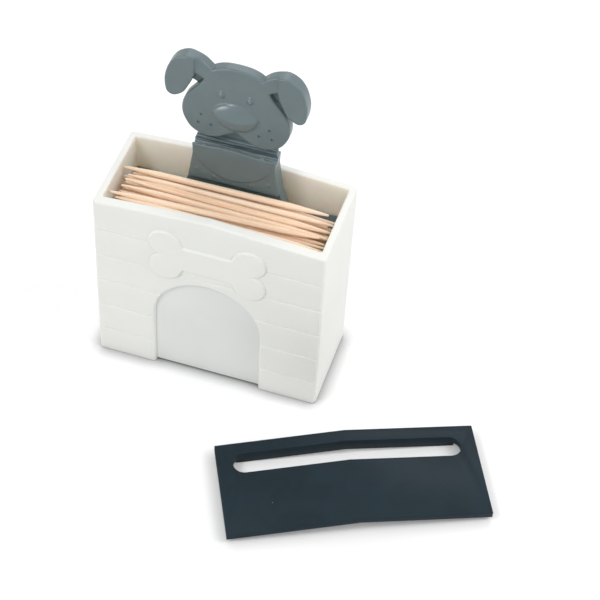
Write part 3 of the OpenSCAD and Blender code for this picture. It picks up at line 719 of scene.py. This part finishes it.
dog = {
    "front": 6.2, "back": 12.4, "faceY": 7.5, "headBack": 11.3, "lip": 79.18, "deck": 55.58, "cheek": 82.28,
    "headHalf": 17.35, "headHigh": 28.6, "headEdge": 0.65,
    "earRoot": 7.2, "earReach": 15.25, "earLow": 96.32, "earHigh": 16.2, "earStep": 13.1,
    "earRaise": 0.85, "earEdge": 0.65, "flapEdge": 0.75, "flapBack": 0.3,
    "headShares": [
        (0.00, 0.147), (0.18, 0.073), (0.34, 0.021), (0.51, 0.000), (0.67, 0.021), (0.80, 0.063),
        (0.90, 0.136), (0.98, 0.250), (0.99, 0.373), (0.93, 0.497), (0.824, 0.590), (0.69, 0.690),
        (0.60, 0.775), (0.53, 0.865), (0.43, 0.940), (0.23, 0.988), (0.00, 1.000)],
    "earShares": [
        (0.05, 0.42), (0.209, 0.515), (0.387, 0.611), (0.426, 0.475), (0.495, 0.327), (0.597, 0.142),
        (0.721, 0.037), (0.852, 0.00), (0.962, 0.075), (1.00, 0.255), (0.995, 0.445), (0.92, 0.70),
        (0.78, 0.895), (0.57, 1.00), (0.39, 0.98), (0.20, 0.90), (0.02, 0.74), (-0.12, 0.56)],
    "web": (11.0, 15.4, 100.1, 2.4, 106.6, 9.7),   # near, far, low, climb, high, front
    "eyeX": 4.5, "eyeZ": 100.6, "eyeSink": 0.05, "eyeRadii": (0.95, 0.85, 1.25),
    "noseTop": (88.2, 9.7), "noseLow": (94.95, 7.75), "noseRise": 2.0, "noseRoot": 1.2, "nosePower": 0.55,
    "dimples": [(10.9, 90.7), (11.8, 87.3), (7.7, 87.4)], "dimpleRadius": 0.5, "dimpleSink": 0.05,
    "neckHalf": 13.1, "neckFront": 10.26, "neckLow": 77, "neckHigh": 96,
    "ledgeLow": 75, "ledgeTop": 80.28, "ledgeFront": 9.46,
    "grooveY": 8.24, "grooveDrop": 0.44, "grooveRadius": 1.34, "grooveSides": 32,
    "cutHalf": 0.02, "cutDrop": 0.4, "cutRise": 1.4, "cutSlant": 1.0,   # cutHalf in metres
    "chestHalf": 13.5, "waistHalf": 13.35, "waistDrop": 4.2, "hemHalf": 14.8, "hem": 64.9, "footHalf": 18.0,
    "chestFront": 6.5, "footFront": 8.1, "footDrop": 1, "scarfDrop": 11.8, "scarfSteps": 24,
    "voxel": 0.00024, "quickVoxel": 1.7,
    "lipWave": [(9.0, -0.15), (4.5, 0.22), (0.0, 0.58), (-4.5, 0.62), (-9.0, 0.12)],
    "nubs": [-9.4, 9.0], "nubRadius": 0.5, "nubSink": 0.5, "nubRise": 0.1,
    "studs": [(11.7, 69.1), (5.9, 67.2)], "studRadii": (0.85, 0.24, 0.85),
}


def lensNose(d):
    topZ, topR = d["noseTop"]
    lowZ, lowR = d["noseLow"]
    midZ = (topZ + topR + lowZ - lowR) / 2
    rings, segments = 14, 72

    def reach(a):   # how far the lens goes from its middle in a direction
        low, high = 0.0, 12.0
        for _ in range(30):
            t = (low + high) / 2
            x, z = t * math.cos(a), midZ + t * math.sin(a)
            if math.hypot(x, z - topZ) < topR and math.hypot(x, z - lowZ) < lowR:
                low = t
            else:
                high = t
        return low

    def rise(x, z):
        a = 1 - (x * x + (z - topZ) ** 2) / (topR * topR)
        b = 1 - (x * x + (z - lowZ) ** 2) / (lowR * lowR)
        return max(min(a, b), 0) ** d["nosePower"]

    peak = max(rise(0, midZ + 0.05 * k) for k in range(-60, 60))
    verts = [(0, (d["faceY"] - d["noseRise"] * rise(0, midZ) / peak) * mm, midZ * mm)]
    for k in range(1, rings + 1):
        for s in range(segments):
            a = 2 * math.pi * s / segments
            t = reach(a) * k / rings
            x, z = t * math.cos(a), midZ + t * math.sin(a)
            up = d["noseRise"] * rise(x, z) / peak if k < rings else 0
            verts.append((x * mm, (d["faceY"] - up) * mm, z * mm))
    for s in range(segments):
        a = 2 * math.pi * s / segments
        t = reach(a)
        verts.append((t * math.cos(a) * mm, (d["faceY"] + d["noseRoot"]) * mm, (midZ + t * math.sin(a)) * mm))
    faces = []
    for s in range(segments):
        n = (s + 1) % segments
        faces.append((0, 1 + s, 1 + n))
        for k in range(rings):
            low, high = 1 + k * segments, 1 + (k + 1) * segments
            faces.append((low + s, high + s, high + n, low + n))
    faces.append(tuple(1 + rings * segments + s for s in range(segments)))
    return verts, faces


def slab(line, front, back, edge=0.3):
    return softPlate(line, front, back, edge, 3)


def meshObject(name, parts):
    verts, faces = joinParts(parts)
    mesh = bpy.data.meshes.new(name)
    mesh.from_pydata(verts, [], faces)
    piece = bpy.data.objects.new(name, mesh)
    bpy.context.scene.collection.objects.link(piece)
    bm = bmesh.new()
    bm.from_mesh(mesh)
    bmesh.ops.recalc_face_normals(bm, faces=bm.faces)
    bm.to_mesh(mesh)
    bm.free()
    return piece


def applyModifiers(piece):
    depsgraph = bpy.context.evaluated_depsgraph_get()
    depsgraph.update()
    result = bpy.data.meshes.new_from_object(piece.evaluated_get(depsgraph), depsgraph=depsgraph)
    piece.modifiers.clear()
    old = piece.data
    piece.data = result
    bpy.data.meshes.remove(old)


def onSide(line, sign):
    return [(x * sign, z) for x, z in line][::sign]


def headParts(d):
    head = [(x * d["headHalf"], d["cheek"] + z * d["headHigh"]) for x, z in d["headShares"]]
    parts = [softPlate(mirrored(smoothLine(head, 8)), d["faceY"], d["headBack"], d["headEdge"])]
    ear = [(d["earRoot"] + x * d["earReach"], d["earLow"] + z * d["earHigh"]) for x, z in d["earShares"]]
    ear = smoothLine(ear[:3], 8) + smoothLine(ear[2:], 8)[1:]   # the gap ends in a sharp corner
    step = d["earStep"]
    last = max(i for i, (x, z) in enumerate(ear) if x >= step - 0.001)
    (ax, az), (bx, bz) = ear[last], ear[last + 1]
    flap = [(x, z) for x, z in ear[:last + 1] if x >= step - 0.001]
    flap.append((step, az + (bz - az) * (ax - step) / (ax - bx)))
    near, far, low, climb, high, front = d["web"]   # thin web that closes the top of the gap behind the flap
    web = [(near, low), (far, low + climb), (far, high), (near, high)]
    for sign in (1, -1):
        parts.append(softPlate(onSide(ear, sign), d["faceY"], d["headBack"], d["earEdge"]))
        parts.append(softPlate(onSide(flap, sign), d["faceY"] - d["earRaise"], d["headBack"] - d["flapBack"],
                               d["earEdge"] * d["flapEdge"]))
        parts.append(slab(onSide(web, sign), front, d["headBack"] - 0.2, 0.2))
        parts.append(ball((sign * d["eyeX"], d["faceY"] - d["eyeSink"], d["eyeZ"]), d["eyeRadii"]))
    parts.append(lensNose(d))
    return parts


def bodyParts(d):
    top, hemHalf, hem, waistHalf, half = d["lip"], d["hemHalf"], d["hem"], d["waistHalf"], d["chestHalf"]
    waist = top - d["waistDrop"]
    wave = [(x, top + up) for x, up in d["lipWave"]]   # the moulding's rough lip
    chest = [(-hemHalf, hem), (hemHalf, hem), (waistHalf, waist), (half, top)] + wave
    chest += [(-half, top), (-waistHalf, waist)]
    parts = [ball((x, d["front"] + d["nubSink"], top + d["nubRise"]), (d["nubRadius"],) * 3, 10, 14)
             for x in d["nubs"]]
    parts += [ball((s * x, d["chestFront"], z), d["studRadii"], 10, 18)
              for x, z in d["studs"] for s in (1, -1)]
    footHalf, footTop = d["footHalf"], top - d["footDrop"]
    foot = [(-footHalf, d["deck"]), (footHalf, d["deck"]), (hemHalf, hem), (waistHalf, waist),
            (waistHalf, footTop), (-waistHalf, footTop), (-waistHalf, waist), (-hemHalf, hem)]
    parts.append(slab(chest, d["chestFront"], d["back"]))
    parts.append(slab(foot, d["footFront"], d["back"]))
    bend = (half ** 2 + d["scarfDrop"] ** 2) / (2 * d["scarfDrop"])
    scarf = [(half - 0.1, top)] + wave + [(-half + 0.1, top)]
    for k in range(1, d["scarfSteps"]):
        x = -half + 2 * half * k / d["scarfSteps"]
        scarf.append((x * 0.99, top - d["scarfDrop"] + bend - math.sqrt(bend * bend - x * x)))
    parts.append(slab(scarf, d["front"], d["chestFront"] + 1, 0.25))
    n = d["neckHalf"]
    for low, high, front in ((d["neckLow"], d["neckHigh"], d["neckFront"]),
                             (d["ledgeLow"], d["ledgeTop"], d["ledgeFront"])):
        parts.append(slab([(-n, low), (n, low), (n, high), (-n, high)], front, d["headBack"]))
    return parts


def dogCutters(d):
    cutters = [ball((s * x, d["faceY"] + d["dimpleSink"], z), (d["dimpleRadius"],) * 3, 10, 14)
               for x, z in d["dimples"] for s in (1, -1)]
    count, r, reach = d["grooveSides"], d["grooveRadius"], d["cutHalf"]
    bar = []
    for k in range(count):
        a = 2 * math.pi * k / count
        bar.append((d["grooveY"] + r * math.cos(a), d["lip"] - d["grooveDrop"] + r * math.sin(a)))
    verts = [(-reach, y * mm, z * mm) for y, z in bar] + [(reach, y * mm, z * mm) for y, z in bar]
    faces = [tuple(range(count - 1, -1, -1)), tuple(range(count, 2 * count))]
    faces += [(i, (i + 1) % count, count + (i + 1) % count, count + i) for i in range(count)]
    cutters.append((verts, faces))
    near, far = d["grooveY"] - r, d["ledgeFront"]
    low, high = d["lip"] - d["cutDrop"], d["lip"] + d["cutRise"]
    section = ((near, low), (far, low), (far, high), (near, high + d["cutSlant"]))
    box = [(x, y * mm, z * mm) for x in (-reach, reach) for y, z in section]
    sides = [(0, 1, 5, 4), (1, 2, 6, 5), (2, 3, 7, 6), (3, 0, 4, 7)]
    cutters.append((box, [(3, 2, 1, 0), (4, 5, 6, 7)] + sides))
    return cutters


def buildDog(d):
    piece = meshObject("dogFigure", headParts(d) + bodyParts(d))
    piece.modifiers.new("melt", "REMESH").mode = "VOXEL"
    piece.modifiers["melt"].voxel_size = d["voxel"] if full else d["voxel"] * d["quickVoxel"]
    applyModifiers(piece)
    soft = piece.modifiers.new("soften", "SMOOTH")
    soft.factor, soft.iterations = 0.5, 2
    applyModifiers(piece)
    tool = meshObject("dogCuts", dogCutters(d))
    cut = piece.modifiers.new("cut", "BOOLEAN")
    cut.operation, cut.object, cut.solver, cut.use_self = "DIFFERENCE", tool, "EXACT", True
    applyModifiers(piece)
    bpy.data.objects.remove(tool)
    finishMesh(piece, dogPlastic, 55)
    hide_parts("dog_figure")
    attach(piece, "dog")
    print("dog figure:", len(piece.data.polygons), "faces")


buildDog(dog)


# the carriage, the ramp and the roof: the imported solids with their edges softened

softened = {"weld": 0.00002, "flatAngle": 1.5, "bevelAngle": 35, "sharpAngle": 35, "segments": 3}


def softCopy(node, name, material, body, edge):
    piece = bpy.data.objects.new(name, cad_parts[node].data.copy())
    bpy.context.scene.collection.objects.link(piece)
    bm = bmesh.new()
    bm.from_mesh(piece.data)
    bmesh.ops.remove_doubles(bm, verts=bm.verts, dist=softened["weld"])
    flat = math.radians(softened["flatAngle"])
    bmesh.ops.dissolve_limit(bm, angle_limit=flat, verts=bm.verts, edges=bm.edges)
    bm.to_mesh(piece.data)
    bm.free()
    bevel = piece.modifiers.new("soften", "BEVEL")
    bevel.width, bevel.segments, bevel.limit_method = edge * mm, softened["segments"], "ANGLE"
    bevel.angle_limit, bevel.use_clamp_overlap = math.radians(softened["bevelAngle"]), True
    applyModifiers(piece)
    finishMesh(piece, material, softened["sharpAngle"])
    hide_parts(node)
    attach(piece, body)
    print(name, len(piece.data.polygons), "faces")


softCopy("lift_carriage", "carriageBar", dogPlastic, "dog", 0.45)
softCopy("feed_ramp", "rampShell", housePlastic, "house", 0.3)
softCopy("roof", "gableRoof", roofPlastic, "roof", 0.45)


# the toothpicks

pile = {
    "length": 0.067, "thickness": 0.00216, "tip": 0.0006, "taper": 0.0115, "bluntness": 0.8,   # lengths in metres
    "sides": 20, "quickSides": 10, "stations": 68, "seed": 7, "thinnest": 0.94, "thickest": 1.05,
    "laid": {   # how the ones that show lie: moved along x, y and z in mm, turned in degrees
        "toothpick_01": (-0.4, -0.1, 0.3, 1.0), "toothpick_02": (0.1, 0.4, 0.0, 0.2),
        "toothpick_03": (0.4, 0.3, 0.25, -0.8), "toothpick_04": (-0.3, 0.7, 0.0, -0.6),
        "toothpick_05": (-0.3, 1.0, 0.9, 2.2), "toothpick_06": (0.7, 1.4, 0.2, -0.8),
        "toothpick_10": (0.3, 0.1, 0.0, 0.4), "toothpick_11": (1.2, -0.2, 0.0, -0.6),
        "toothpick_12": (-0.5, 0.0, 0.0, 0.5),
    },
}


def pileTree(p):
    tree = bpy.data.node_groups.new("toothpickPile", "GeometryNodeTree")
    sockets = {}
    for label, kind in (("Places", "Geometry"), ("Length", "Float"), ("Thickness", "Float"),
                        ("Tip Thickness", "Float"), ("Taper", "Float"), ("Sides", "Int"), ("Seed", "Int"),
                        ("Wood", "Material")):
        socket = tree.interface.new_socket(name=label, in_out="INPUT", socket_type="NodeSocket" + kind)
        sockets[label] = socket.identifier
    tree.interface.new_socket(name="Geometry", in_out="OUTPUT", socket_type="NodeSocketGeometry")
    given, out = tree.nodes.new("NodeGroupInput"), tree.nodes.new("NodeGroupOutput")

    def maths(operation, *values):
        return mathNode(tree, operation, *values)

    def vector(x, y=0.0, z=0.0):
        return addNode(tree, "ShaderNodeCombineXYZ", None, {0: x, 1: y, 2: z}).outputs[0]

    halfLength = maths("MULTIPLY", given.outputs["Length"], 0.5)
    stick = addNode(tree, "GeometryNodeCurvePrimitiveLine", None, {
        "Start": vector(maths("MULTIPLY", halfLength, -1.0)), "End": vector(halfLength)})
    fine = addNode(tree, "GeometryNodeResampleCurve", None, {
        "Curve": stick.outputs[0], "Count": p["stations"]})
    place = addNode(tree, "GeometryNodeInputPosition")
    along = addNode(tree, "ShaderNodeSeparateXYZ", None, {0: place.outputs[0]})
    toEnd = maths("SUBTRACT", halfLength, maths("ABSOLUTE", along.outputs[0]))
    share = maths("DIVIDE", toEnd, given.outputs["Taper"])
    bent = maths("POWER", maths("MINIMUM", maths("MAXIMUM", share, 0.0), 1.0), p["bluntness"])
    wide = maths("MULTIPLY", given.outputs["Thickness"], 0.5)
    tip = maths("MULTIPLY", given.outputs["Tip Thickness"], 0.5)
    radius = maths("MULTIPLY_ADD", bent, maths("SUBTRACT", wide, tip), tip)
    ring = addNode(tree, "GeometryNodeCurvePrimitiveCircle", None, {
        "Resolution": given.outputs["Sides"], "Radius": 1.0})
    swept = addNode(tree, "GeometryNodeCurveToMesh", None, {
        "Curve": fine.outputs[0], "Profile Curve": ring.outputs[0], "Scale": radius, "Fill Caps": True})
    turn = addNode(tree, "GeometryNodeInputNamedAttribute", {"data_type": "FLOAT"}, {"Name": "turn"})
    spin = addNode(tree, "FunctionNodeRandomValue", {"data_type": "FLOAT"}, {
        2: 0.0, 3: 6.2832, "Seed": given.outputs["Seed"]})   # a full turn
    stout = addNode(tree, "FunctionNodeRandomValue", {"data_type": "FLOAT"}, {
        2: p["thinnest"], 3: p["thickest"], "Seed": maths("ADD", given.outputs["Seed"], 2.0)})
    laid = addNode(tree, "GeometryNodeInstanceOnPoints", None, {
        "Points": given.outputs["Places"], "Instance": swept.outputs[0],
        "Rotation": vector(spin.outputs[1], 0.0, turn.outputs[0]),
        "Scale": vector(1.0, stout.outputs[1], stout.outputs[1])})
    mark = addNode(tree, "FunctionNodeRandomValue", {"data_type": "FLOAT_VECTOR"}, {
        0: (0, 0, 0), 1: (1, 1, 1), "Seed": maths("ADD", given.outputs["Seed"], 1.0)})
    kept = addNode(tree, "GeometryNodeStoreNamedAttribute", {
        "data_type": "FLOAT_VECTOR", "domain": "INSTANCE"}, {
        "Geometry": laid.outputs[0], "Name": "pickSeed", "Value": mark.outputs[0]})
    real = addNode(tree, "GeometryNodeRealizeInstances", None, {0: kept.outputs[0]})
    wood = addNode(tree, "GeometryNodeSetMaterial", None, {
        "Geometry": real.outputs[0], "Material": given.outputs["Wood"]})
    tree.links.new(wood.outputs[0], out.inputs[0])
    return tree, sockets


def buildPile(p):
    nodes = sorted(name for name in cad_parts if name.startswith("toothpick_"))
    centres, turns = [], []
    for name in nodes:
        low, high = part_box(name)
        dx, dy, dz, turn = p["laid"].get(name, (0, 0, 0, 0))
        centres.append((low + high) / 2 + Vector((dx, dy, dz)) * mm)
        turns.append(math.radians(turn))
    mesh = bpy.data.meshes.new("toothpickPile")
    mesh.from_pydata(centres, [], [])
    mesh.attributes.new("turn", "FLOAT", "POINT").data.foreach_set("value", turns)
    piece = bpy.data.objects.new("toothpickPile", mesh)
    bpy.context.scene.collection.objects.link(piece)
    tree, sockets = pileTree(p)
    grow = piece.modifiers.new("pile", "NODES")
    grow.node_group = tree
    for label, value in (("Length", p["length"]), ("Thickness", p["thickness"]), ("Tip Thickness", p["tip"]),
                         ("Taper", p["taper"]), ("Sides", p["sides"] if full else p["quickSides"]),
                         ("Seed", p["seed"]), ("Wood", toothpickWood)):
        grow[sockets[label]] = value
    applyModifiers(piece)
    finishMesh(piece, toothpickWood, 50)
    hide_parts(*nodes)
    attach(piece, "house")
    print("toothpicks:", len(nodes), "with", len(piece.data.polygons), "faces")


buildPile(pile)
